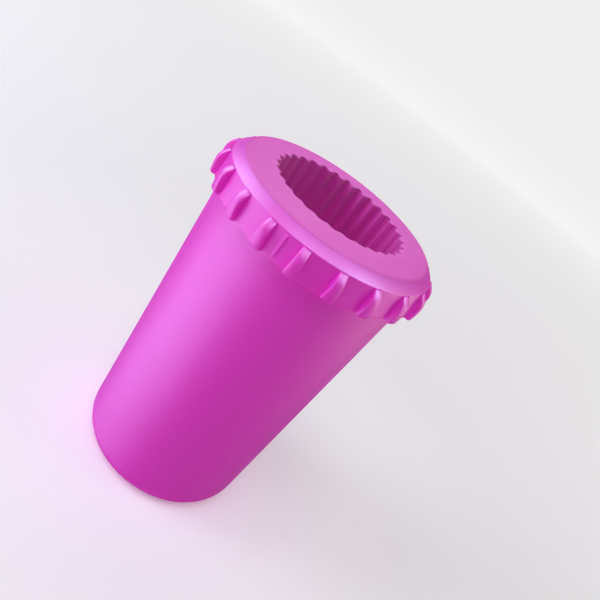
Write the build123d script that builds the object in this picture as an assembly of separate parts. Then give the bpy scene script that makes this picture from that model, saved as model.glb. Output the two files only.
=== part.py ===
from build123d import *
import math
import os

# Paw washer cup: a tapered cup, a screw-on grip collar, a silicone comb sleeve hung from the collar,
# the sleeve's bristles, and a flat seal between the cup's neck and the collar.
# Millimetres. The cup's axis is Z, its base stands on Z = 0, and a lug faces -Y.

# ---- overall ----
HEIGHT = 90.0                 # floor to the rim of the paw opening
CUP_TOP_RADIUS = 25.1         # at the shoulder under the collar; every other radius is built up from it

# ---- cup ----
CUP_TAPER = 0.95              # radius lost from the shoulder down to the base rounding
CUP_WALL = 2.6
CUP_FLOOR = 2.4
BASE_ROUND = 5.0
BASE_INNER_ROUND = 4.0
BASE_RECESS_RADIUS = 13.0
BASE_RECESS_DEPTH = 0.7
SHOULDER_DROP = 8.9           # from the rim of the paw opening down to the cup's shoulder
SHOULDER_ROUND = 0.3
NECK_WALL = 1.2
NECK_HEIGHT = 4.3
RIM_ROUND = 0.3

# ---- two-start screw thread between neck and collar ----
THREAD_STARTS = 2
THREAD_LEAD = 4.0
THREAD_TURNS = 0.6
THREAD_ROOT_WIDTH = 1.1
THREAD_CREST_WIDTH = 0.5
THREAD_DEPTH = 0.8
THREAD_SINK = 0.3             # how far a ridge is rooted in its wall
THREAD_GAP = 0.35             # from the neck's ridges to the collar's bore
THREAD_LEAD_IN = 0.9          # from the shoulder up to the middle of the lowest ridge

# ---- grip collar ----
SKIRT_GAP = 0.2               # between the cup's shoulder and the skirt
SKIRT_WALL = 2.15             # from the collar's bore out to the skirt's lower edge
SKIRT_TAPER = 0.7             # radius lost from the skirt's lower edge up to the bevel
SKIRT_EDGE_ROUND = 0.25
BEVEL_REACH = 1.98            # from the bevel's foot in to the flange's recess
BEVEL_FOOT_DROP = 2.4         # below the rim of the paw opening
BEVEL_TOP_DROP = 0.68
LEDGE_THICKNESS = 1.4
LEDGE_REACH = 3.85            # how far the ledge stands in from the collar's bore
LUG_COUNT = 20
LUG_STAND = 1.45              # from the skirt's lower edge out to a lug's widest point
LUG_FOOT_WIDTH = 2.8
LUG_TIP_WIDTH = 1.8
LUG_BULGE_DROP = 5.8          # from the rim of the paw opening to a lug's widest point
LUG_FOOT_TUCK = 0.25          # a lug's foot is this much nearer the axis than its widest point
LUG_TIP_SINK = 0.15           # how far a lug's upper tip is sunk in the bevel
LUG_ROOT = 0.5                # how far from the collar's bore a lug is rooted
PARTING_TURN = -10.0          # degrees from the front lug to the mould's parting ridge
PARTING_WIDTH = 0.5
PARTING_STAND = 0.15
PARTING_MARGIN = 0.3          # the ridge stops this short of the skirt's two edges

# ---- comb sleeve ----
FLANGE_GAP = 0.12             # between the flange and the wall of the collar's recess
FLANGE_RISE = 0.4             # the flange climbs this much towards the paw opening
FLANGE_EDGE_ROUND = 0.5
PLUG_GAP = 0.3                # between the sleeve and the collar's ledge
PLUG_REACH = 1.2              # how far the sleeve's thick top goes below the ledge
SLEEVE_STEP = 1.5             # from the thick top in to the tube's outside
SLEEVE_TAPER = 0.7            # radius lost from the tube's top to its bottom
SLEEVE_WALL = 2.8             # at the top, from the tube's outside to the middle of its flutes
SLEEVE_FOOT = 10.0            # height of the sleeve's open lower end
FLUTE_COUNT = 30
FLUTE_DEPTH = 1.0
FLUTE_TAPER = 0.5             # radius lost from the flutes' top to their bottom

# ---- bristles ----
BRISTLE_TIP_RADIUS = 9.0      # axis to a bristle's tip
BRISTLE_ROOT_DIAMETER = 2.4
BRISTLE_TIP_DIAMETER = 1.3
BRISTLE_ROOT_SINK = 0.9       # how far a bristle is rooted behind its flute's crest
BRISTLE_TOP_DROP = 15.0       # from the rim of the paw opening to the first tier
BRISTLE_PITCH = 6.0           # from tier to tier
BRISTLE_FOOT_MARGIN = 4.0     # the lowest tier stays this far above the sleeve's end

# ---- seal ----
SEAL_THICKNESS = 1.0
SEAL_GAP = 0.2                # between the seal's edge and the collar's bore
SEAL_INNER_MARGIN = 0.6       # the seal's hole is this much wider than the ledge's bore

# ---- sizes that follow ----
FRONT = -90.0                 # angle of the front lug and the front flute crest, from +X
SHOULDER_Z = HEIGHT - SHOULDER_DROP
NECK_TOP_Z = SHOULDER_Z + NECK_HEIGHT
SEAL_TOP_Z = NECK_TOP_Z + SEAL_THICKNESS
LEDGE_TOP_Z = SEAL_TOP_Z + LEDGE_THICKNESS
SKIRT_Z = SHOULDER_Z + SKIRT_GAP
BEVEL_FOOT_Z = HEIGHT - BEVEL_FOOT_DROP
BEVEL_TOP_Z = HEIGHT - BEVEL_TOP_DROP
CUP_BASE_RADIUS = CUP_TOP_RADIUS - CUP_TAPER
NECK_RADIUS = CUP_TOP_RADIUS - CUP_WALL + NECK_WALL
COLLAR_BORE_RADIUS = NECK_RADIUS + THREAD_DEPTH + THREAD_GAP
SKIRT_BOTTOM_RADIUS = COLLAR_BORE_RADIUS + SKIRT_WALL
LUG_RADIUS = SKIRT_BOTTOM_RADIUS + LUG_STAND
BEVEL_FOOT_RADIUS = SKIRT_BOTTOM_RADIUS - SKIRT_TAPER
RECESS_RADIUS = BEVEL_FOOT_RADIUS - BEVEL_REACH
FLANGE_RADIUS = RECESS_RADIUS - FLANGE_GAP
LEDGE_BORE_RADIUS = COLLAR_BORE_RADIUS - LEDGE_REACH
PLUG_RADIUS = LEDGE_BORE_RADIUS - PLUG_GAP
SLEEVE_TOP_RADIUS = PLUG_RADIUS - SLEEVE_STEP
SLEEVE_BOTTOM_RADIUS = SLEEVE_TOP_RADIUS - SLEEVE_TAPER
FLUTE_MEAN_RADIUS = SLEEVE_TOP_RADIUS - SLEEVE_WALL
PLUG_FOOT_Z = SEAL_TOP_Z - PLUG_REACH


def polar(radius, degrees, z):
    """A point at a radius and an angle round the axis."""
    angle = math.radians(degrees)
    return (radius * math.cos(angle), radius * math.sin(angle), z)


def outline_face(corners):
    """A closed outline in radius and height; each corner is radius, height and rounding."""
    face = make_face(Polyline(*[(radius, z) for radius, z, _ in corners], close=True))
    for radius, z, rounding in corners:
        if rounding > 0:
            corner = face.vertices().sort_by_distance((radius, z, 0))[0]
            face = fillet(corner, rounding)
    return Plane.XZ * face


def turned(corners):
    """An outline revolved round the axis."""
    return revolve(outline_face(corners), axis=Axis.Z)


def standing_fin(corners, width, degrees):
    """An outline in radius and height, made a fin of the given width at an angle round the axis."""
    fin = extrude(outline_face(corners), amount=width / 2, both=True)
    return Rot(0, 0, degrees) * fin


def cup_side_radius(z):
    """Radius of the cup's tapered side at a height."""
    share = (z - BASE_ROUND) / (SHOULDER_Z - BASE_ROUND)
    return CUP_BASE_RADIUS + (CUP_TOP_RADIUS - CUP_BASE_RADIUS) * share


def skirt_radius(z):
    """Radius of the collar's tapered skirt at a height."""
    share = (z - SKIRT_Z) / (BEVEL_FOOT_Z - SKIRT_Z)
    return SKIRT_BOTTOM_RADIUS + (BEVEL_FOOT_RADIUS - SKIRT_BOTTOM_RADIUS) * share


def flute_radius(z):
    """Mean radius of the sleeve's flutes at a height."""
    share = (HEIGHT - z) / (HEIGHT - SLEEVE_FOOT)
    return FLUTE_MEAN_RADIUS - FLUTE_TAPER * share


def thread_ridges(wall_radius, outward, first_degrees):
    """Helical ridges on a round wall, one for each start of the thread."""
    side = 1 if outward else -1
    crest_radius = wall_radius + side * THREAD_DEPTH
    root_radius = wall_radius - side * THREAD_SINK
    flare = (THREAD_ROOT_WIDTH - THREAD_CREST_WIDTH) / 2 * THREAD_SINK / THREAD_DEPTH
    half_root = THREAD_ROOT_WIDTH / 2 + flare
    half_crest = THREAD_CREST_WIDTH / 2
    section = make_face(
        Polyline(
            (root_radius, 0, -half_root),
            (crest_radius, 0, -half_crest),
            (crest_radius, 0, half_crest),
            (root_radius, 0, half_root),
            close=True,
        )
    )
    helix = Helix(pitch=THREAD_LEAD, height=THREAD_LEAD * THREAD_TURNS, radius=wall_radius)
    ridge = Pos(0, 0, SHOULDER_Z + THREAD_LEAD_IN) * sweep(section, path=helix, is_frenet=True)
    step = 360 / THREAD_STARTS
    return [Rot(0, 0, first_degrees + step * start) * ridge for start in range(THREAD_STARTS)]


def make_cup_body():
    """The cup, with its rounded base, its shoulder and its threaded neck."""
    cup = turned([
        (0, BASE_RECESS_DEPTH, 0),
        (BASE_RECESS_RADIUS, BASE_RECESS_DEPTH, BASE_RECESS_DEPTH / 3),
        (BASE_RECESS_RADIUS, 0, BASE_RECESS_DEPTH / 3),
        (cup_side_radius(0), 0, BASE_ROUND),
        (CUP_TOP_RADIUS, SHOULDER_Z, SHOULDER_ROUND),
        (NECK_RADIUS, SHOULDER_Z, 0),
        (NECK_RADIUS, NECK_TOP_Z, RIM_ROUND),
        (NECK_RADIUS - NECK_WALL, NECK_TOP_Z, RIM_ROUND),
        (NECK_RADIUS - NECK_WALL, SHOULDER_Z, 0),
        (cup_side_radius(CUP_FLOOR) - CUP_WALL, CUP_FLOOR, BASE_INNER_ROUND),
        (0, CUP_FLOOR, 0),
    ])
    for ridge in thread_ridges(NECK_RADIUS, True, FRONT):
        cup += ridge
    return cup


def make_lug():
    """One grip lug on +X: a crescent from the side, and narrower towards its tip from the front."""
    root_radius = COLLAR_BORE_RADIUS + LUG_ROOT
    bulge = (LUG_RADIUS, HEIGHT - LUG_BULGE_DROP)
    tip = (BEVEL_FOOT_RADIUS - LUG_TIP_SINK, BEVEL_FOOT_Z)
    foot = (LUG_RADIUS - LUG_FOOT_TUCK, SKIRT_Z)
    back = Polyline(tip, (root_radius, SEAL_TOP_Z), (root_radius, SKIRT_Z), foot)
    crown = TangentArc(bulge, tip, tangent=(0, 1))
    belly = TangentArc(bulge, foot, tangent=(0, -1))
    side_view = Plane.XZ * make_face([back, belly, crown])
    front_view = Plane.YZ * make_face(
        Polyline(
            (-LUG_FOOT_WIDTH / 2, SKIRT_Z),
            (LUG_FOOT_WIDTH / 2, SKIRT_Z),
            (LUG_TIP_WIDTH / 2, BEVEL_FOOT_Z),
            (-LUG_TIP_WIDTH / 2, BEVEL_FOOT_Z),
            close=True,
        )
    )
    return extrude(side_view, amount=LUG_FOOT_WIDTH, both=True) & extrude(front_view, amount=LUG_RADIUS + 1)


def make_grip_collar():
    """The screw-on collar: skirt, bevel, ledge for the sleeve's flange, lugs and inside thread."""
    collar = turned([
        (COLLAR_BORE_RADIUS, SKIRT_Z, 0),
        (SKIRT_BOTTOM_RADIUS, SKIRT_Z, SKIRT_EDGE_ROUND),
        (BEVEL_FOOT_RADIUS, BEVEL_FOOT_Z, SKIRT_EDGE_ROUND),
        (RECESS_RADIUS, BEVEL_TOP_Z, 0),
        (RECESS_RADIUS, LEDGE_TOP_Z, 0),
        (LEDGE_BORE_RADIUS, LEDGE_TOP_Z, 0),
        (LEDGE_BORE_RADIUS, SEAL_TOP_Z, 0),
        (COLLAR_BORE_RADIUS, SEAL_TOP_Z, 0),
    ])
    lug = make_lug()
    lug_step = 360 / LUG_COUNT
    collar += [Rot(0, 0, FRONT + lug_step * index) * lug for index in range(LUG_COUNT)]

    low = SKIRT_Z + PARTING_MARGIN
    high = BEVEL_FOOT_Z - PARTING_MARGIN
    parting_outline = [
        (COLLAR_BORE_RADIUS + LUG_ROOT, low, 0),
        (skirt_radius(low) + PARTING_STAND, low, 0),
        (skirt_radius(high) + PARTING_STAND, high, 0),
        (COLLAR_BORE_RADIUS + LUG_ROOT, high, 0),
    ]
    for half_turn in (0, 180):
        collar += standing_fin(parting_outline, PARTING_WIDTH, FRONT + PARTING_TURN + half_turn)

    # The collar's ridges run midway between the neck's: a quarter turn is half the gap between starts.
    quarter = 360 / THREAD_STARTS / 2
    for ridge in thread_ridges(COLLAR_BORE_RADIUS, False, FRONT - quarter):
        collar += ridge
    return collar


def make_bristles():
    """Tapered bristles on the flute crests, in tiers that use every other crest by turns."""
    lowest_z = SLEEVE_FOOT + BRISTLE_FOOT_MARGIN
    tier_count = int((HEIGHT - BRISTLE_TOP_DROP - lowest_z) / BRISTLE_PITCH) + 1
    crest_step = 360 / FLUTE_COUNT
    bristles = []
    for tier in range(tier_count):
        z = HEIGHT - BRISTLE_TOP_DROP - BRISTLE_PITCH * tier
        root_radius = flute_radius(z) - FLUTE_DEPTH / 2 + BRISTLE_ROOT_SINK
        bristle = Cone(
            BRISTLE_ROOT_DIAMETER / 2,
            BRISTLE_TIP_DIAMETER / 2,
            root_radius - BRISTLE_TIP_RADIUS,
            align=(Align.CENTER, Align.CENTER, Align.MIN),
        )
        for crest in range(tier % 2, FLUTE_COUNT, 2):
            degrees = FRONT + crest_step * crest
            seat = Plane(origin=polar(root_radius, degrees, z), z_dir=polar(-1, degrees, 0))
            bristles.append(seat * bristle)
    return bristles


def flute_outline(z):
    """The zigzag outline of the sleeve's bore at a height, with a crest at the front."""
    crest_radius = flute_radius(z) - FLUTE_DEPTH / 2
    valley_radius = crest_radius + FLUTE_DEPTH
    half_step = 180 / FLUTE_COUNT
    points = []
    for index in range(2 * FLUTE_COUNT):
        radius = valley_radius if index % 2 else crest_radius
        points.append(polar(radius, FRONT + half_step * index, z))
    return make_face(Polyline(*points, close=True))


def make_comb_sleeve(bristles):
    """The silicone sleeve: flange, plug through the ledge, fluted tube, seats for the bristles."""
    flange_top_z = HEIGHT - FLANGE_RISE
    sleeve = turned([
        (0, SLEEVE_FOOT, 0),
        (SLEEVE_BOTTOM_RADIUS, SLEEVE_FOOT, 0),
        (SLEEVE_TOP_RADIUS, PLUG_FOOT_Z - (PLUG_RADIUS - SLEEVE_TOP_RADIUS), 0),
        (PLUG_RADIUS, PLUG_FOOT_Z, 0),
        (PLUG_RADIUS, LEDGE_TOP_Z, 0),
        (FLANGE_RADIUS, LEDGE_TOP_Z, 0),
        (FLANGE_RADIUS, BEVEL_TOP_Z, 0),
        (FLANGE_RADIUS - FLANGE_EDGE_ROUND, flange_top_z, FLANGE_EDGE_ROUND),
        (FLUTE_MEAN_RADIUS + FLUTE_DEPTH / 2, HEIGHT, 0),
        (0, HEIGHT, 0),
    ])
    reach = 1.0
    bore = loft([flute_outline(SLEEVE_FOOT - reach), flute_outline(HEIGHT + reach)], ruled=True)
    return sleeve - bore - bristles


def make_seal_ring():
    """The flat washer between the neck's rim and the collar's ledge."""
    inner = LEDGE_BORE_RADIUS + SEAL_INNER_MARGIN
    outer = COLLAR_BORE_RADIUS - SEAL_GAP
    return turned([
        (inner, NECK_TOP_Z, 0),
        (outer, NECK_TOP_Z, 0),
        (outer, SEAL_TOP_Z, 0),
        (inner, SEAL_TOP_Z, 0),
    ])


bristles = make_bristles()
nodes = {
    "cup_body": make_cup_body(),
    "grip_collar": make_grip_collar(),
    "comb_sleeve": make_comb_sleeve(bristles),
    "bristle_rows": Compound(bristles),
    "seal_ring": make_seal_ring(),
}
os.makedirs("parts", exist_ok=True)
for name, shape in nodes.items():
    export_step(shape, f"parts/{name}.step")
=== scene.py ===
import math

import bpy
from mathutils import Matrix, Vector


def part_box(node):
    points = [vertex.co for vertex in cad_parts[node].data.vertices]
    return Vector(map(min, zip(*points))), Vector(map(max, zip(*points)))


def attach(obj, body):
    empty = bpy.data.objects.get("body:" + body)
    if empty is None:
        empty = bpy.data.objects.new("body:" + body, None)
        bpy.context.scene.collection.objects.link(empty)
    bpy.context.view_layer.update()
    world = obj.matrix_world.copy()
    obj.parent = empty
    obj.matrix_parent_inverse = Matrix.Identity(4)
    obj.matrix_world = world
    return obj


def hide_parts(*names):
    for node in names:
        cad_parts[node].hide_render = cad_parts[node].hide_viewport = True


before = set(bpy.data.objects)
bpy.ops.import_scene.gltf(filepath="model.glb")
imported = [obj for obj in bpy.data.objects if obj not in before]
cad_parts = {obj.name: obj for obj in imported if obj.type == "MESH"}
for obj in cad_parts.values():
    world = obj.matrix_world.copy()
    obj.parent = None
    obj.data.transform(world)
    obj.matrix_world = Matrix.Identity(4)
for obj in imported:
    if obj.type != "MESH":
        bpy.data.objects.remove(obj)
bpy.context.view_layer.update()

MM = 0.001

# ---- sizes read from the frame, in millimetres ----
_, cup_high = [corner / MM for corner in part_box("cup_body")]
collar_low, collar_high = [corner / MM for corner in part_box("grip_collar")]
sleeve_low, sleeve_high = [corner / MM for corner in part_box("comb_sleeve")]
_, seal_high = [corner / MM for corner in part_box("seal_ring")]
bristle_low, bristle_high = [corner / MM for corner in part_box("bristle_rows")]

HEIGHT = sleeve_high.z
CUP_TOP_RADIUS = cup_high.x
LUG_RADIUS = collar_high.x
FLANGE_RADIUS = sleeve_high.x
SKIRT_Z = collar_low.z
BEVEL_TOP_Z = collar_high.z
NECK_TOP_Z = cup_high.z
SEAL_TOP_Z = seal_high.z
SLEEVE_FOOT_Z = sleeve_low.z

# ---- the other sizes, built up as in the CAD model, in millimetres ----
CUP_TAPER = 0.95              # radius lost from the shoulder down to the base rounding
CUP_WALL = 2.6
CUP_FLOOR = 2.4
BASE_ROUND = 5.0
BASE_INNER_ROUND = 4.0
BASE_RECESS_RADIUS = 13.0
BASE_RECESS_DEPTH = 0.7
GATE_RADIUS = 1.7             # the mould's gate mark, in the middle of the base recess
GATE_DROP = 0.3
GATE_MOAT_RISE = 0.2
GATE_MOAT_WIDTH = 1.4
SKIRT_GAP = 0.2               # between the cup's shoulder and the skirt
SHOULDER_Z = SKIRT_Z - SKIRT_GAP
NECK_WALL = 1.2
NECK_RADIUS = CUP_TOP_RADIUS - CUP_WALL + NECK_WALL

THREAD_LEAD = 4.0
THREAD_TURNS = 0.6
THREAD_DEPTH = 0.8
THREAD_ROOT_WIDTH = 1.1
THREAD_CREST_WIDTH = 0.5
THREAD_SINK = 0.25            # how far a ridge is rooted in its wall
THREAD_GAP = 0.35             # from the neck's ridges to the collar's bore
THREAD_Z = SHOULDER_Z + 0.9   # middle of the lowest ridge

COLLAR_BORE_RADIUS = NECK_RADIUS + THREAD_DEPTH + THREAD_GAP
SKIRT_WALL = 2.15             # from the collar's bore out to the skirt's lower edge
SKIRT_TAPER = 0.7             # radius lost from the skirt's lower edge up to the bevel
SKIRT_FOOT_RADIUS = COLLAR_BORE_RADIUS + SKIRT_WALL
BEVEL_FOOT_RADIUS = SKIRT_FOOT_RADIUS - SKIRT_TAPER
BEVEL_FOOT_Z = HEIGHT - 2.4
BEVEL_FOOT_ROUND = 0.45
SKIRT_SLOPE = SKIRT_TAPER / (BEVEL_FOOT_Z - SKIRT_Z)
RECESS_RADIUS = FLANGE_RADIUS + 0.015     # the collar's wall stands this close round the flange
LEDGE_THICK = 1.4
LEDGE_TOP_Z = SEAL_TOP_Z + LEDGE_THICK
LEDGE_REACH = 3.85            # how far the ledge stands in from the collar's bore
LEDGE_BORE_RADIUS = COLLAR_BORE_RADIUS - LEDGE_REACH
LUG_COUNT = 20
LUG_COLUMNS = 4               # columns of faces across a lug
COLUMNS_TO_A_LUG = 12         # and from one lug to the next
LUG_FOOT_WIDTH = 2.8
LUG_TIP_WIDTH = 1.8
LUG_BULGE_Z = HEIGHT - 5.8    # a lug's widest point
LUG_FOOT_TUCK = 0.25          # a lug's foot is this much nearer the axis than its widest point
LUG_TIP_STAND = 0.12
LUG_CROWN = 0.18              # how far a lug's face falls away to its two sides
LUG_EDGE_ROUND = 0.16
PARTING_TURN = -10.0          # degrees from the front lug to the mould's parting ridge
PARTING_STAND = 0.011         # the ridge's height, as a share of the radius
PARTING_EDGE_ROUND = 0.1

PLUG_GAP = 0.3                # between the sleeve's plug and the ledge's bore
PLUG_RADIUS = LEDGE_BORE_RADIUS - PLUG_GAP
PLUG_FOOT_Z = SEAL_TOP_Z - 1.2
PLUG_STEP = 1.5               # from the plug in to the tube below it
TUBE_TAPER = 0.7              # radius lost from the tube's top to its foot
TUBE_TOP_RADIUS = PLUG_RADIUS - PLUG_STEP
TUBE_FOOT_RADIUS = TUBE_TOP_RADIUS - TUBE_TAPER
SLEEVE_WALL = 2.8             # at the top, from the tube's outside to the middle of its flutes
FLANGE_RISE = 0.4             # the flange climbs this much towards the paw opening
FLUTE_COUNT = 30
COLUMNS_TO_A_FLUTE = 12
FLUTE_RADIUS = TUBE_TOP_RADIUS - SLEEVE_WALL
FLUTE_DEPTH = 1.0
FLUTE_TAPER = 0.5             # radius lost from the flutes' top to their bottom

BRISTLE_TIP_RADIUS = 9.0      # axis to a bristle's tip
BRISTLE_ROOT_THICK = 2.4
BRISTLE_TIP_THICK = 1.3
BRISTLE_TIP_ROUND = 0.42
BRISTLE_ROOT_SINK = 0.9       # how far a bristle is rooted behind its flute's crest
BRISTLE_PITCH = 6.0           # from tier to tier

SEAL_GAP = 0.2                # between the seal's edge and the collar's bore
SEAL_INNER_MARGIN = 0.6       # the seal's hole is this much wider than the ledge's bore


# ---- camera ----
def set_camera():
    """The camera's place round the middle of the cup, its roll, and the framing."""
    azimuth, elevation, roll = math.radians(-0.5), math.radians(33.605), math.radians(37.26)
    distance = 149.69 * MM
    back = Vector((math.sin(azimuth) * math.cos(elevation), -math.cos(azimuth) * math.cos(elevation),
                   math.sin(elevation)))
    data = bpy.data.cameras.new("camera")
    data.sensor_width = 36
    data.lens = 34.3
    data.shift_x = 0.1031
    data.shift_y = 0.0651
    data.clip_start = 0.01
    camera = bpy.data.objects.new("camera", data)
    camera.location = Vector((0, 0, HEIGHT / 2 * MM)) + back * distance
    turn = (-back).to_track_quat("-Z", "Y").to_matrix() @ Matrix.Rotation(roll, 3, "Z")
    camera.rotation_euler = turn.to_euler()
    bpy.context.collection.objects.link(camera)
    bpy.context.scene.camera = camera


# ---- modelling helpers ----
def deselect():
    bpy.ops.object.select_all(action="DESELECT")


def pick_up(piece):
    """Make one piece the only selected one."""
    deselect()
    piece.select_set(True)
    bpy.context.view_layer.objects.active = piece


def choose(piece, kind, test):
    """Select the points, edges or faces of the piece in edit mode that pass a test.

    The test gets a point, an edge's two ends, or a face's middle and normal, in millimetres.
    """
    bpy.ops.mesh.select_all(action="DESELECT")
    bpy.ops.mesh.select_mode(type=kind)
    bpy.ops.object.mode_set(mode="OBJECT")
    mesh = piece.data
    if kind == "VERT":
        for point in mesh.vertices:
            point.select = test(point.co / MM)
    elif kind == "EDGE":
        for edge in mesh.edges:
            ends = [mesh.vertices[index].co / MM for index in edge.vertices]
            edge.select = test(*ends)
    else:
        for face in mesh.polygons:
            face.select = test(face.center / MM, face.normal)
    bpy.ops.object.mode_set(mode="EDIT")


def radius_of(point):
    return math.hypot(point.x, point.y)


def off_front(point):
    """Degrees round the axis from the front, -180 to 180."""
    return math.degrees(math.atan2(point.x, -point.y))


def rounded(corners, steps=5):
    """Points of an outline: each corner is radius, height and rounding, and a rounding becomes an arc."""
    points = []
    for index, (radius, height, rounding) in enumerate(corners):
        here = Vector((radius, height))
        if rounding == 0:
            points.append(here)
            continue
        before = (Vector(corners[index - 1][:2]) - here).normalized()
        after = (Vector(corners[(index + 1) % len(corners)][:2]) - here).normalized()
        half = before.angle(after) / 2
        centre = here + (before + after).normalized() * rounding / math.sin(half)
        first = here + before * rounding / math.tan(half) - centre
        turn = math.copysign(math.pi - 2 * half, -before.cross(after))
        for step in range(steps + 1):
            points.append(centre + Matrix.Rotation(turn * step / steps, 2) @ first)
    return points


def turn_up(name, outline, steps):
    """Turn an outline of radius and height round the axis. Ends on the axis are closed with a pole."""
    deselect()
    ring = [point for point in outline if point[0] > 0]
    bpy.ops.mesh.primitive_circle_add(vertices=steps, radius=ring[0][0] * MM)
    piece = bpy.context.object
    piece.name = name
    bpy.ops.object.mode_set(mode="EDIT")
    bpy.ops.mesh.select_mode(type="VERT")
    bpy.ops.mesh.select_all(action="SELECT")
    bpy.ops.transform.translate(value=(0, 0, ring[0][1] * MM))
    for (radius, height), (next_radius, next_height) in zip(ring, ring[1:]):
        bpy.ops.mesh.extrude_region_move(
            TRANSFORM_OT_translate={"value": (0, 0, (next_height - height) * MM)})
        scale = next_radius / radius
        bpy.ops.transform.resize(value=(scale, scale, 1), center_override=(0, 0, 0))
    if len(ring) == len(outline):
        bpy.ops.mesh.select_all(action="DESELECT")
        bpy.ops.mesh.select_non_manifold()
        bpy.ops.mesh.bridge_edge_loops()
    else:
        for radius, height in (ring[-1], ring[0]):
            choose(piece, "VERT", lambda point: abs(point.z - height) < 1e-3
                   and abs(radius_of(point) - radius) < 1e-3)
            bpy.ops.mesh.extrude_region_move()
            bpy.ops.mesh.merge(type="CENTER")
    return piece


def keep_sector(piece, half):
    """Keep only the part of an open turned piece within this many degrees of the front."""
    choose(piece, "FACE", lambda point, normal: abs(off_front(point)) > half)
    bpy.ops.mesh.delete(type="FACE")


def close(piece, crease):
    """Merge doubled points, turn faces outwards, leave edit mode, and shade smooth up to a crease."""
    bpy.ops.mesh.select_all(action="SELECT")
    bpy.ops.mesh.remove_doubles(threshold=0.004 * MM)
    bpy.ops.mesh.normals_make_consistent(inside=False)
    bpy.ops.object.mode_set(mode="OBJECT")
    bpy.ops.object.shade_smooth_by_angle(angle=math.radians(crease))


def finish_with(piece, kind, **settings):
    """Add a modifier to a piece and apply it."""
    pick_up(piece)
    modifier = piece.modifiers.new(kind.lower(), kind)
    for key, value in settings.items():
        setattr(modifier, key, value)
    bpy.ops.object.modifier_apply(modifier=modifier.name)


def copy_of(piece, move):
    """A copy of a piece with its own mesh, moved in its mesh."""
    twin = piece.copy()
    twin.data = piece.data.copy()
    twin.data.transform(move)
    bpy.context.collection.objects.link(twin)
    return twin


def join(first, others):
    pick_up(first)
    for piece in others:
        piece.select_set(True)
    bpy.ops.object.join()
    return first


def repeat_round(piece, count, crease):
    """Copy a sector round the axis and join the copies into one closed ring."""
    copies = [copy_of(piece, Matrix.Rotation(math.tau * index / count, 4, "Z")) for index in range(1, count)]
    join(piece, copies)
    bpy.ops.object.mode_set(mode="EDIT")
    close(piece, crease)
    return piece


def thread_ridges(name, wall_radius, side, first_turn):
    """The two helical ridges of a screw thread on a round wall. Side is 1 on its outside, -1 inside."""
    middle = wall_radius + side * (THREAD_DEPTH - THREAD_SINK) / 2
    deselect()
    bpy.ops.mesh.primitive_plane_add(size=1, rotation=(math.radians(90), 0, 0))
    ridge = bpy.context.object
    ridge.name = name
    bpy.ops.object.transform_apply(location=True, rotation=True, scale=True)
    bpy.ops.object.mode_set(mode="EDIT")
    bpy.ops.mesh.select_all(action="SELECT")
    bpy.ops.transform.resize(value=((THREAD_DEPTH + THREAD_SINK) * MM, 1, THREAD_ROOT_WIDTH * MM),
                             center_override=(0, 0, 0))
    bpy.ops.transform.translate(value=(middle * MM, 0, THREAD_Z * MM))
    choose(ridge, "VERT", lambda point: (point.x - middle) * side > 0)
    bpy.ops.transform.resize(value=(1, 1, THREAD_CREST_WIDTH / THREAD_ROOT_WIDTH),
                             center_override=(middle * MM, 0, THREAD_Z * MM))
    bpy.ops.mesh.select_all(action="SELECT")
    bpy.ops.mesh.delete(type="ONLY_FACE")
    bpy.ops.object.mode_set(mode="OBJECT")
    steps = 72
    finish_with(ridge, "SCREW", angle=math.tau * THREAD_TURNS, steps=steps, render_steps=steps,
                screw_offset=THREAD_LEAD * THREAD_TURNS * MM)
    bpy.ops.object.mode_set(mode="EDIT")
    bpy.ops.mesh.select_all(action="SELECT")
    bpy.ops.mesh.fill_holes(sides=4)
    reach = math.degrees(math.tau * THREAD_TURNS)
    crest = wall_radius + side * THREAD_DEPTH
    # both ends of a ridge rise out of the wall over their first steps
    for step, stand in ((0, 0.05), (1, 0.5), (2, 0.8)):
        for end in (reach * step / steps, reach * (1 - step / steps)):
            choose(ridge, "VERT", lambda point: abs(radius_of(point) - crest) < 0.01
                   and abs((math.degrees(math.atan2(point.y, point.x)) - end + 180) % 360 - 180) < 0.5)
            scale = (wall_radius + side * THREAD_DEPTH * stand) / crest
            bpy.ops.transform.resize(value=(scale, scale, 1), center_override=(0, 0, 0))
    close(ridge, 30)
    twins = [copy_of(ridge, Matrix.Rotation(math.radians(first_turn + turn), 4, "Z")) for turn in (0, 180)]
    bpy.data.objects.remove(ridge)
    return twins


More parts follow.
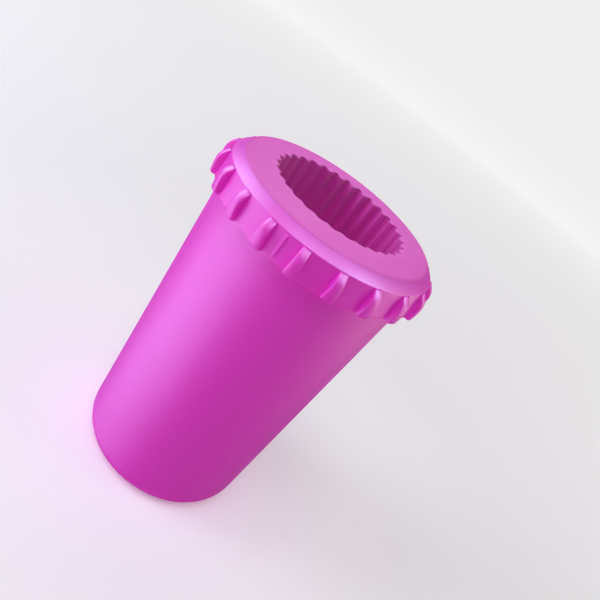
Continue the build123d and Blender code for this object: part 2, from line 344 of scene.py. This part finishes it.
# ---- the pieces ----
def make_cup():
    """The tapered cup: recessed base with its gate mark, rounded foot, shoulder, and threaded neck."""
    slope = CUP_TAPER / (SHOULDER_Z - BASE_ROUND)
    foot = CUP_TOP_RADIUS - slope * SHOULDER_Z
    neck_inner = NECK_RADIUS - NECK_WALL
    moat_inner = GATE_RADIUS + 0.15
    moat_outer = moat_inner + GATE_MOAT_WIDTH - 0.15
    cup = turn_up("cup_shell", rounded([
        (0, BASE_RECESS_DEPTH - GATE_DROP, 0),
        (GATE_RADIUS, BASE_RECESS_DEPTH - GATE_DROP, 0.1),
        (moat_inner, BASE_RECESS_DEPTH + GATE_MOAT_RISE, 0.05),
        (moat_outer, BASE_RECESS_DEPTH + GATE_MOAT_RISE, 0.05),
        (moat_outer + 0.3, BASE_RECESS_DEPTH, 0.1),
        (BASE_RECESS_RADIUS - 0.25, BASE_RECESS_DEPTH, 0.25),
        (BASE_RECESS_RADIUS + 0.15, 0, 0.25),
        (foot, 0, BASE_ROUND),
        (CUP_TOP_RADIUS, SHOULDER_Z, 0.35),
        (NECK_RADIUS, SHOULDER_Z, 0.2),
        (NECK_RADIUS, NECK_TOP_Z, 0.3),
        (neck_inner, NECK_TOP_Z, 0.3),
        (neck_inner, SHOULDER_Z, 0),
        (foot + slope * CUP_FLOOR - CUP_WALL, CUP_FLOOR, BASE_INNER_ROUND),
        (0, CUP_FLOOR, 0),
    ], 8), 240)
    close(cup, 30)
    return join(cup, thread_ridges("neck_thread", NECK_RADIUS, 1, -90))


def skirt_radius(z):
    return SKIRT_FOOT_RADIUS - SKIRT_SLOPE * (z - SKIRT_Z)


def lug_width(z):
    share = (z - SKIRT_Z) / (BEVEL_FOOT_Z - SKIRT_Z)
    return LUG_FOOT_WIDTH + (LUG_TIP_WIDTH - LUG_FOOT_WIDTH) * share


def lug_radius(z):
    """Radius of a lug's outer face: widest at the bulge, a little less at its foot, round to its tip."""
    tip = BEVEL_FOOT_RADIUS + LUG_TIP_STAND
    if z < LUG_BULGE_Z:
        share = (LUG_BULGE_Z - z) / (LUG_BULGE_Z - SKIRT_Z)
        return LUG_RADIUS - LUG_FOOT_TUCK * share ** 2
    rise = BEVEL_FOOT_Z - LUG_BULGE_Z
    depth = LUG_RADIUS - tip
    arc = (rise ** 2 + depth ** 2) / (2 * depth)
    return LUG_RADIUS - arc + math.sqrt(arc ** 2 - (z - LUG_BULGE_Z) ** 2)


def make_collar():
    """The screw-on grip ring: one lug's sector is modelled, then repeated round the ring."""
    rows = [SKIRT_Z + share * (BEVEL_FOOT_Z - SKIRT_Z)
            for share in (0.12, 0.24, 0.36, 0.48, 0.6, 0.7, 0.79, 0.87, 0.93, 0.97)]
    outline = [Vector((COLLAR_BORE_RADIUS, SKIRT_Z)), Vector((SKIRT_FOOT_RADIUS, SKIRT_Z))]
    outline += [Vector((skirt_radius(z), z)) for z in rows]
    outline += rounded([
        (*outline[-1], 0),
        (BEVEL_FOOT_RADIUS, BEVEL_FOOT_Z, BEVEL_FOOT_ROUND),
        (RECESS_RADIUS, BEVEL_TOP_Z, 0.03),
        (RECESS_RADIUS, LEDGE_TOP_Z, 0),
        (LEDGE_BORE_RADIUS, LEDGE_TOP_Z, 0.2),
        (LEDGE_BORE_RADIUS, SEAL_TOP_Z, 0.2),
        (COLLAR_BORE_RADIUS, SEAL_TOP_Z, 0),
    ], 4)[1:]
    steps = LUG_COUNT * COLUMNS_TO_A_LUG
    column = 360 / steps
    collar = turn_up("collar_ring", outline, steps)
    keep_sector(collar, 180 / LUG_COUNT)

    lug_half = column * LUG_COLUMNS / 2
    tip_z = rows[-1]

    def on_lug(point):
        return abs(off_front(point)) < lug_half + 0.1

    choose(collar, "FACE", lambda point, normal: on_lug(point) and SKIRT_Z < point.z < tip_z + 0.01
           and radius_of(point) > BEVEL_FOOT_RADIUS - 0.1)
    bpy.ops.mesh.extrude_region_move(TRANSFORM_OT_translate={"value": (0, -0.05 * MM, 0)})
    for z in [SKIRT_Z] + rows:
        skirt = skirt_radius(z)
        choose(collar, "VERT", lambda point: abs(point.z - z) < 0.01 and on_lug(point)
               and radius_of(point) > skirt + 0.02)
        scale = lug_radius(z) / (skirt + 0.05)
        bpy.ops.transform.resize(value=(1, scale, 1), center_override=(0, 0, 0))
        choose(collar, "VERT", lambda point: abs(point.z - z) < 0.01 and on_lug(point)
               and radius_of(point) > skirt - 0.02)
        scale = lug_width(z) / (2 * skirt * math.sin(math.radians(lug_half)))
        bpy.ops.transform.resize(value=(scale, 1, 1), center_override=(0, 0, 0))

    # each lug's face is crowned: its side columns fall away fully, the ones between by a quarter
    for across, fall in ((1.0, 1.0), (0.5, 0.25)):
        choose(collar, "VERT", lambda point: on_lug(point)
               and radius_of(point) > max(BEVEL_FOOT_RADIUS + 0.15, skirt_radius(point.z) + 0.1)
               and abs(abs(point.x) / (lug_width(point.z) / 2) - across) < 0.1)
        bpy.ops.transform.translate(value=(0, LUG_CROWN * fall * MM, 0))

    def outer_edge(one, other):
        """Whether an edge is one of the lug's outer corners or the skirt's lower rim."""
        middle = (one + other) / 2
        if max(one.z, other.z) < SKIRT_Z + 0.01:
            return radius_of(middle) > SKIRT_FOOT_RADIUS - 0.05
        if radius_of(middle) < SKIRT_FOOT_RADIUS + 0.02 and middle.z < tip_z - 0.49:
            return False
        upright = abs(one.z - other.z) > 0.05
        side = upright and abs(middle.x) > LUG_TIP_WIDTH / 2 - 0.05
        tip = not upright and abs(middle.z - tip_z) < 0.01
        return on_lug(middle) and radius_of(middle) > BEVEL_FOOT_RADIUS + 0.1 and (side or tip)

    choose(collar, "EDGE", outer_edge)
    bpy.ops.mesh.bevel(offset=LUG_EDGE_ROUND * MM, segments=2, profile=0.5, clamp_overlap=False)
    bpy.ops.object.mode_set(mode="OBJECT")
    repeat_round(collar, LUG_COUNT, 35)

    bpy.ops.object.mode_set(mode="EDIT")
    # a sixth of a column on stands the middle of one column of faces
    for turn in (PARTING_TURN + column / 6, PARTING_TURN + column / 6 + 180):
        choose(collar, "FACE", lambda point, normal: rows[0] < point.z < rows[-2]
               and abs((off_front(point) - turn + 180) % 360 - 180) < column / 2
               and radius_of(point) > BEVEL_FOOT_RADIUS - 0.1)
        bpy.ops.mesh.extrude_region_move()
        bpy.ops.transform.resize(value=(1 + PARTING_STAND, 1 + PARTING_STAND, 1),
                                 center_override=(0, 0, 0))
        bpy.ops.mesh.region_to_loop()
        bpy.ops.mesh.bevel(offset=PARTING_EDGE_ROUND * MM, segments=2, clamp_overlap=False)
    close(collar, 35)
    return join(collar, thread_ridges("collar_thread", COLLAR_BORE_RADIUS, -1, -180))


def make_sleeve():
    """The silicone sleeve: flange, thick top and long fluted tube. One flute is modelled and repeated.

    The flute's columns of points stand a degree apart. They are moved out and in along a wave, less
    and less the further they stand behind the bore.
    """
    top = HEIGHT - FLANGE_RISE
    bore_foot = FLUTE_RADIUS - FLUTE_TAPER
    valley = FLUTE_RADIUS + FLUTE_DEPTH / 2
    sleeve = turn_up("silicone_sleeve", rounded([
        (bore_foot, SLEEVE_FOOT_Z, 0.4),
        (TUBE_FOOT_RADIUS, SLEEVE_FOOT_Z, 0.5),
        (TUBE_TOP_RADIUS, PLUG_FOOT_Z - 1.5, 0.6),
        (PLUG_RADIUS, PLUG_FOOT_Z, 0.3),
        (PLUG_RADIUS, LEDGE_TOP_Z, 0),
        (FLANGE_RADIUS, LEDGE_TOP_Z, 0.1),
        (FLANGE_RADIUS, BEVEL_TOP_Z, 0.03),
        (FLANGE_RADIUS - 0.6, top + 0.05, 2.0),
        (valley + 1.0, HEIGHT - 0.06, 0),
        (valley + 0.4, HEIGHT - 0.02, 0),
        (FLUTE_RADIUS, HEIGHT, 0.35),
    ], 5), FLUTE_COUNT * COLUMNS_TO_A_FLUTE)
    keep_sector(sleeve, 180 / FLUTE_COUNT)

    def behind_bore(point):
        """How far a point stands outside the bore's mean radius at its height."""
        drop = min(1, (HEIGHT - point.z) / (HEIGHT - SLEEVE_FOOT_Z))
        return radius_of(point) - FLUTE_RADIUS + FLUTE_TAPER * drop

    half = COLUMNS_TO_A_FLUTE // 2
    for step in range(-half, half + 1):
        rise = 1 - 4 * abs(abs(step) / COLUMNS_TO_A_FLUTE - 0.5)
        # a little rounder than a straight ramp from crest to valley
        wave = (0.3 * math.sin(rise * math.pi / 2) + 0.7 * rise) * FLUTE_DEPTH / 2
        for near, far, share in ((0, 0.05, 1), (0.05, 0.15, 0.9), (0.15, 0.3, 0.75), (0.3, 0.7, 0.4)):
            choose(sleeve, "VERT", lambda point: abs(off_front(point) - step) < 0.2
                   and near - 0.001 <= behind_bore(point) < far - 0.001)
            scale = 1 + wave * share / FLUTE_RADIUS
            bpy.ops.transform.resize(value=(scale, scale, 1), center_override=(0, 0, 0))
    bpy.ops.object.mode_set(mode="OBJECT")
    return repeat_round(sleeve, FLUTE_COUNT, 35)


def make_bristles():
    """One tapered bristle with a rounded tip, then the tiers, on every other flute crest by turns."""
    root = FLUTE_RADIUS - FLUTE_DEPTH / 2 + BRISTLE_ROOT_SINK
    length = root - BRISTLE_TIP_RADIUS
    deselect()
    bpy.ops.mesh.primitive_cone_add(vertices=12, radius1=BRISTLE_ROOT_THICK / 2 * MM,
                                    radius2=BRISTLE_TIP_THICK / 2 * MM, depth=length * MM)
    bristle = bpy.context.object
    bpy.ops.object.mode_set(mode="EDIT")
    bpy.ops.transform.translate(value=(0, 0, length / 2 * MM))
    choose(bristle, "FACE", lambda point, normal: normal.z > 0.9)
    bpy.ops.mesh.bevel(offset=BRISTLE_TIP_ROUND * MM, segments=2)
    close(bristle, 60)
    tiers = round((bristle_high.z - bristle_low.z - BRISTLE_ROOT_THICK) / BRISTLE_PITCH) + 1
    bristles = []
    for tier in range(tiers):
        z = bristle_high.z - BRISTLE_ROOT_THICK / 2 - BRISTLE_PITCH * tier
        lean = FLUTE_TAPER * (HEIGHT - z) / (HEIGHT - SLEEVE_FOOT_Z)
        seat = Matrix.Translation(Vector((root - lean, 0, z)) * MM)
        aim = Matrix.Rotation(math.radians(-90), 4, "Y")
        shorten = Matrix.Diagonal((1, 1, (length - lean) / length, 1))
        for crest in range(tier % 2, FLUTE_COUNT, 2):
            turn = Matrix.Rotation(math.radians(crest * 360 / FLUTE_COUNT - 90), 4, "Z")
            bristles.append(copy_of(bristle, turn @ seat @ aim @ shorten))
    bpy.data.objects.remove(bristle)
    bristles[0].name = "bristles"
    return join(bristles[0], bristles[1:])


def make_seal():
    """The flat washer between the neck's rim and the collar's ledge."""
    inner = LEDGE_BORE_RADIUS + SEAL_INNER_MARGIN
    outer = COLLAR_BORE_RADIUS - SEAL_GAP
    seal = turn_up("seal_washer", rounded([
        (inner, NECK_TOP_Z, 0.15),
        (outer, NECK_TOP_Z, 0.15),
        (outer, SEAL_TOP_Z, 0.15),
        (inner, SEAL_TOP_Z, 0.15),
    ], 3), 180)
    close(seal, 35)
    return seal


# ---- materials ----
def linear(hex_colour):
    """An sRGB hex colour as linear red, green, blue and alpha."""
    values = [int(hex_colour[index:index + 2], 16) / 255 for index in (0, 2, 4)]
    return [v / 12.92 if v <= 0.04045 else ((v + 0.055) / 1.055) ** 2.4 for v in values] + [1]


def add_node(material, kind, settings, links=()):
    """A node in a material or world, with its properties and input values set and its inputs linked."""
    node = material.node_tree.nodes.new(kind)
    for key, value in settings.items():
        if isinstance(key, int) or key in node.inputs:
            node.inputs[key].default_value = value
        else:
            setattr(node, key, value)
    for socket, source in links:
        material.node_tree.links.new(source, node.inputs[socket])
    return node


def per_mm(size):
    """The noise scale on object coordinates that gives features of this size in millimetres."""
    return 1 / (size * MM)


def moulded(name, pale, deep, mottle_mm, grain_mm, grain_depth, shader):
    """A moulded surface: two close shades mottled at one size, and a fine mould grain as bump.

    The gloss wanders a little with the mottle. A real mould's grain is too fine to show here, so it is
    drawn coarser.
    """
    material = bpy.data.materials.new(name)
    material.use_nodes = True
    links = material.node_tree.links
    surface = material.node_tree.nodes["Principled BSDF"]
    for key, value in shader.items():
        surface.inputs[key].default_value = value
    place = add_node(material, "ShaderNodeTexCoord", {}).outputs["Object"]
    mottle = add_node(material, "ShaderNodeTexNoise", {"Scale": per_mm(mottle_mm), "Detail": 2.0},
                      [("Vector", place)])
    tint = add_node(material, "ShaderNodeMix", {"data_type": "RGBA", 6: linear(pale), 7: linear(deep)},
                    [("Factor", mottle.outputs["Fac"])])
    links.new(tint.outputs[2], surface.inputs["Base Color"])
    grain = add_node(material, "ShaderNodeTexNoise", {"Scale": per_mm(grain_mm), "Detail": 3.0},
                     [("Vector", place)])
    bump = add_node(material, "ShaderNodeBump", {"Strength": 1.0, "Distance": grain_depth * MM},
                    [("Height", grain.outputs["Fac"])])
    links.new(bump.outputs["Normal"], surface.inputs["Normal"])
    rough = shader["Roughness"]
    gloss = add_node(material, "ShaderNodeMapRange", {"To Min": rough * 0.88, "To Max": rough * 1.12},
                     [("Value", mottle.outputs["Fac"])])
    links.new(gloss.outputs["Result"], surface.inputs["Roughness"])
    return material


def dress(piece, material, slot, body, *nodes):
    """Give a piece its material and its body, and hide the CAD nodes it stands for. The finish slot is not
    used.
    """
    piece.data.materials.clear()
    piece.data.materials.append(material)
    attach(piece, body)
    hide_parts(*nodes)


# ---- stage ----
def make_floor():
    """A large pale matt floor. It glows, more with the distance from the cup, so that it stays even.

    It is left out of reflections and casts no shadow, so that the low gloss light reaches the cup.
    """
    deselect()
    bpy.ops.mesh.primitive_circle_add(vertices=96, radius=4.5, fill_type="NGON")
    floor = bpy.context.object
    floor.name = "studio_floor"
    card = bpy.data.materials.new("matt_white_card")
    card.use_nodes = True
    surface = card.node_tree.nodes["Principled BSDF"]
    surface.inputs["Base Color"].default_value = linear("F4F3F4")
    surface.inputs["Roughness"].default_value = 0.9
    surface.inputs["Specular IOR Level"].default_value = 0.1
    surface.inputs["Emission Color"].default_value = linear("FFFFFF")
    place = add_node(card, "ShaderNodeTexCoord", {})
    distance = add_node(card, "ShaderNodeVectorMath", {"operation": "LENGTH"},
                        [(0, place.outputs["Object"])])
    glow = add_node(card, "ShaderNodeMapRange",
                    {"From Min": 0.15, "From Max": 1.0, "To Min": 0.2, "To Max": 0.68},
                    [("Value", distance.outputs["Value"])])
    card.node_tree.links.new(glow.outputs["Result"], surface.inputs["Emission Strength"])
    floor.data.materials.append(card)
    floor.visible_glossy = False
    floor.visible_shadow = False


def make_room():
    """The room's even light: pale past the floor, dim on the pieces, and dimmer still in their gloss."""
    room = bpy.data.worlds.new("studio")
    bpy.context.scene.world = room
    room.use_nodes = True
    background = room.node_tree.nodes["Background"]
    background.inputs["Color"].default_value = linear("FFFFFF")
    ray = add_node(room, "ShaderNodeLightPath", {})
    backdrop = add_node(room, "ShaderNodeMapRange", {"To Min": 0.0, "To Max": 0.66},
                        [("Value", ray.outputs["Is Camera Ray"])])
    fill = add_node(room, "ShaderNodeMapRange", {"To Min": 0.2, "To Max": 0.05},
                    [("Value", ray.outputs["Is Glossy Ray"])])
    level = add_node(room, "ShaderNodeMath", {"operation": "ADD"},
                     [(0, backdrop.outputs["Result"]), (1, fill.outputs["Result"])])
    room.node_tree.links.new(level.outputs["Value"], background.inputs["Strength"])


def soft_light(name, azimuth, elevation, distance, size, watts, colour, gloss_only=False):
    """A square soft light round the cup, aimed two thirds of the way up it.

    A gloss-only one shapes the sheen and adds nothing to the even colour.
    """
    data = bpy.data.lights.new(name, "AREA")
    data.size = size
    data.energy = watts
    data.color = linear(colour)[:3]
    light = bpy.data.objects.new(name, data)
    a, e = math.radians(azimuth), math.radians(elevation)
    away = Vector((math.sin(a) * math.cos(e), -math.cos(a) * math.cos(e), math.sin(e)))
    light.location = Vector((0, 0, HEIGHT * 2 / 3 * MM)) + away * distance
    light.rotation_euler = away.to_track_quat("Z", "Y").to_euler()
    light.visible_diffuse = not gloss_only
    bpy.context.collection.objects.link(light)


def light_cup():
    """A broad key from the left, a weaker light over the front, and sheens that shape the gloss."""
    # name, degrees round from the front, degrees up, metres away, metres across, watts, colour
    soft_light("key", -72, 14, 0.7, 0.3, 1.55, "ECF0FF")
    soft_light("left_high", -80, 40, 0.7, 0.3, 0.6, "ECF0FF")
    soft_light("back_high", -165, 62, 0.8, 0.5, 0.6, "FFF4EC")
    soft_light("front_high", -20, 66, 0.8, 0.4, 1.95, "F4F4FF")
    soft_light("right", 100, 40, 0.7, 0.22, 0.35, "FFE8D8")
    soft_light("left_gloss", -64, -20, 0.5, 0.6, 7.2, "BCC8FF", gloss_only=True)
    soft_light("left_high_gloss", -100, 35, 0.6, 0.4, 11.0, "C0CCFF", gloss_only=True)
    soft_light("back_high_gloss", 180, 50, 0.6, 0.4, 3.5, "E0D8FF", gloss_only=True)
    soft_light("front_high_gloss", 5, 64, 0.6, 0.4, 6.0, "D0D0FF", gloss_only=True)
    soft_light("right_high_gloss", 72, 48, 0.6, 0.3, 10.0, "C8C8FF", gloss_only=True)
    soft_light("right_gloss", 100, 8, 0.5, 0.5, 3.0, "FFF1E7", gloss_only=True)


bpy.context.scene.view_settings.view_transform = "Standard"
set_camera()
make_floor()
make_room()
light_cup()

# Polypropylene, injection moulded in a satin mould: even colour with a broad soft sheen, and a little
# light carried through its thin edges.
cup_plastic = moulded("satin_moulded_polypropylene", "EE1ECC", "E814C2", 14, 0.5, 0.008, {
    "Roughness": 0.5, "IOR": 1.49, "Subsurface Weight": 0.35, "Subsurface Scale": 0.0015,
    "Subsurface Radius": (1.0, 0.1, 0.4)})
# The same polypropylene from a smoother mould: livelier edges on the lugs and the bevel.
collar_plastic = moulded("smooth_moulded_polypropylene", "EE1ECC", "E814C2", 9, 0.5, 0.006, {
    "Roughness": 0.47, "IOR": 1.49, "Subsurface Weight": 0.4, "Subsurface Scale": 0.0012,
    "Subsurface Radius": (1.0, 0.1, 0.4)})
# Silicone, compression moulded in a spark-eroded mould: matte, paler and a little powdery.
silicone = moulded("matte_moulded_silicone", "DE34B2", "D62AA8", 7, 0.4, 0.01, {
    "Roughness": 0.55, "IOR": 1.41})
# Undyed silicone, die cut from sheet: milky and matte.
clear_silicone = moulded("die_cut_milky_silicone", "E9E2E9", "DED6DF", 5, 0.3, 0.005, {
    "Roughness": 0.5, "IOR": 1.41})

dress(make_cup(), cup_plastic, "cup_plastic", "cup", "cup_body")
dress(make_collar(), collar_plastic, "collar_plastic", "collar", "grip_collar")
dress(make_sleeve(), silicone, "sleeve_silicone", "sleeve", "comb_sleeve")
dress(make_bristles(), silicone, "sleeve_silicone", "sleeve", "bristle_rows")
dress(make_seal(), clear_silicone, "seal_silicone", "seal", "seal_ring")
